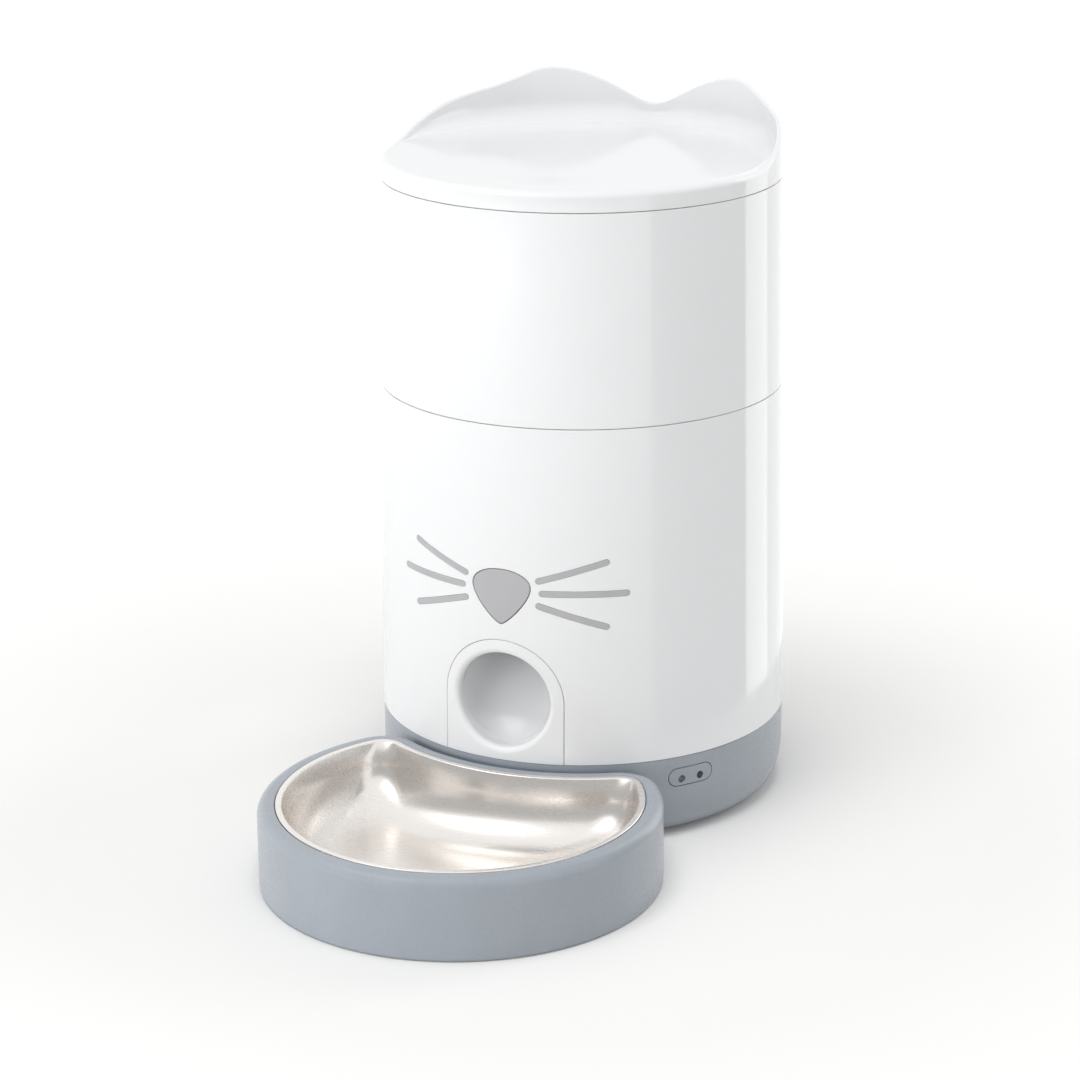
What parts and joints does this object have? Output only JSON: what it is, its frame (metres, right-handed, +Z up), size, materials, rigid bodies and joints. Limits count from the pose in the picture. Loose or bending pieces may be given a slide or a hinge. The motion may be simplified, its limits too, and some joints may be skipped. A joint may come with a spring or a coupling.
{
  "type": "smart pet feeder",
  "caption": "Round white food tower with cat ears, nose button and whiskers, a dosing rotor, a chute and a crescent steel bowl on a grey tray.",
  "frame": {"origin": "on the floor, in the middle of the feeder's floor plan", "axes": "+X to the feeder's own left, seen from the front as the right; -Y towards the bowl, the front; +Z up"},
  "size_m": [0.2084, 0.354, 0.3556],
  "materials": {
    "white_gloss": "smooth moulded gloss",
    "base_grey": "fine satin, blue-grey",
    "face_grey": "satin grey",
    "inner_white": "natural moulded, unpolished",
    "dark_plastic": "fine texture",
    "bowl_steel": "polished lip, brushed inside",
    "screw_steel": "plain turned",
    "contact_brass": "plain sheet",
    "silicone": "soft matt silicone",
    "foot_rubber": "matt",
    "gear_plastic": "natural acetal",
    "circuit_board": "green solder mask",
    "cell_jacket": "plain shrink sleeve",
    "clear_lens": "polished light guide"
  },
  "bodies": {
    "base": {"base_shell": "base_grey", "body_shell": "white_gloss", "bottom_plate": "dark_plastic", "top_deck": "inner_white", "drop_duct": "inner_white", "base_foot_1": "foot_rubber", "base_foot_2": "foot_rubber", "base_foot_3": "foot_rubber", "base_foot_4": "foot_rubber", "base_screw_1": "screw_steel", "base_screw_2": "screw_steel", "base_screw_3": "screw_steel", "base_screw_4": "screw_steel", "battery_door": "dark_plastic", "battery_door_screw": "screw_steel", "cell_1": "cell_jacket", "cell_2": "cell_jacket", "cell_3": "cell_jacket", "cell_4": "cell_jacket", "battery_contact_left": "contact_brass", "battery_contact_right": "contact_brass", "gearbox_housing": "dark_plastic", "gearbox_cover": "dark_plastic", "output_bush": "contact_brass", "gearbox_screw_left": "screw_steel", "gearbox_screw_right": "screw_steel", "motor": "screw_steel", "whiskers_left": "face_grey", "whiskers_right": "face_grey", "button_board": "circuit_board", "nose_switch": "dark_plastic", "main_board": "circuit_board", "power_inlet": "dark_plastic", "status_panel": "base_grey", "status_light_lens": "clear_lens", "status_sensor_lens": "dark_plastic", "status_board": "circuit_board"},
    "container": {"food_container": "white_gloss", "dosing_plate": "inner_white", "rotor_bush": "gear_plastic", "outlet_guard": "inner_white", "wiper_flap": "silicone"},
    "rotor": {"dosing_rotor": "silicone", "rotor_shaft": "screw_steel", "stirrer": "inner_white"},
    "lid": {"lid_shell": "white_gloss", "lid_inner_panel": "inner_white", "lid_seal": "silicone", "drying_puck": "inner_white"},
    "drying_cover": {"drying_cover": "face_grey"},
    "drive": {"drive_gear": "gear_plastic", "output_shaft": "screw_steel"},
    "pinion": {"motor_pinion": "gear_plastic"},
    "nose": {"nose_button": "face_grey"},
    "chute": {"chute": "white_gloss"},
    "bowl": {"bowl_holder": "base_grey"},
    "insert": {"bowl_insert": "bowl_steel"}
  },
  "joints": [
    {"name": "container_lift", "type": "slide", "parent": "base", "child": "container", "axis": [0, 0, 1], "range_m": [0, 0.1]},
    {"name": "lid_lift", "type": "slide", "parent": "container", "child": "lid", "axis": [0, 0, 1], "range_m": [0, 0.08]},
    {"name": "drying_cover_twist", "type": "hinge", "parent": "lid", "child": "drying_cover", "pos_m": [0, 0.07287, 0.306], "axis": [0, 0, 1], "range_deg": [0, 30]},
    {"name": "rotor_spin", "type": "hinge", "parent": "container", "child": "rotor", "pos_m": [0, 0.07287, 0.182], "axis": [0, 0, 1], "continuous": true},
    {"name": "drive_spin", "type": "hinge", "parent": "base", "child": "drive", "pos_m": [0, 0.07287, 0.1335], "axis": [0, 0, 1], "continuous": true},
    {"name": "pinion_spin", "type": "hinge", "parent": "base", "child": "pinion", "pos_m": [0, 0.10287, 0.1335], "axis": [0, 0, 1], "continuous": true},
    {"name": "nose_press", "type": "slide", "parent": "base", "child": "nose", "axis": [0, 1, 0], "range_m": [0, 0.0012], "stiffness_N_per_m": 1200, "springref_m": -0.0005},
    {"name": "chute_pull", "type": "slide", "parent": "base", "child": "chute", "axis": [0, -1, 0], "range_m": [0, 0.07]},
    {"name": "bowl_pull", "type": "slide", "parent": "base", "child": "bowl", "axis": [0, -1, 0], "range_m": [0, 0.08]},
    {"name": "insert_lift", "type": "slide", "parent": "bowl", "child": "insert", "axis": [0, 0, 1], "range_m": [0, 0.06]}
  ],
  "couplings": [
    {"joint": "drive_spin", "follows": "rotor_spin", "ratio": 1},
    {"joint": "pinion_spin", "follows": "rotor_spin", "ratio": -1.8571}
  ]
}
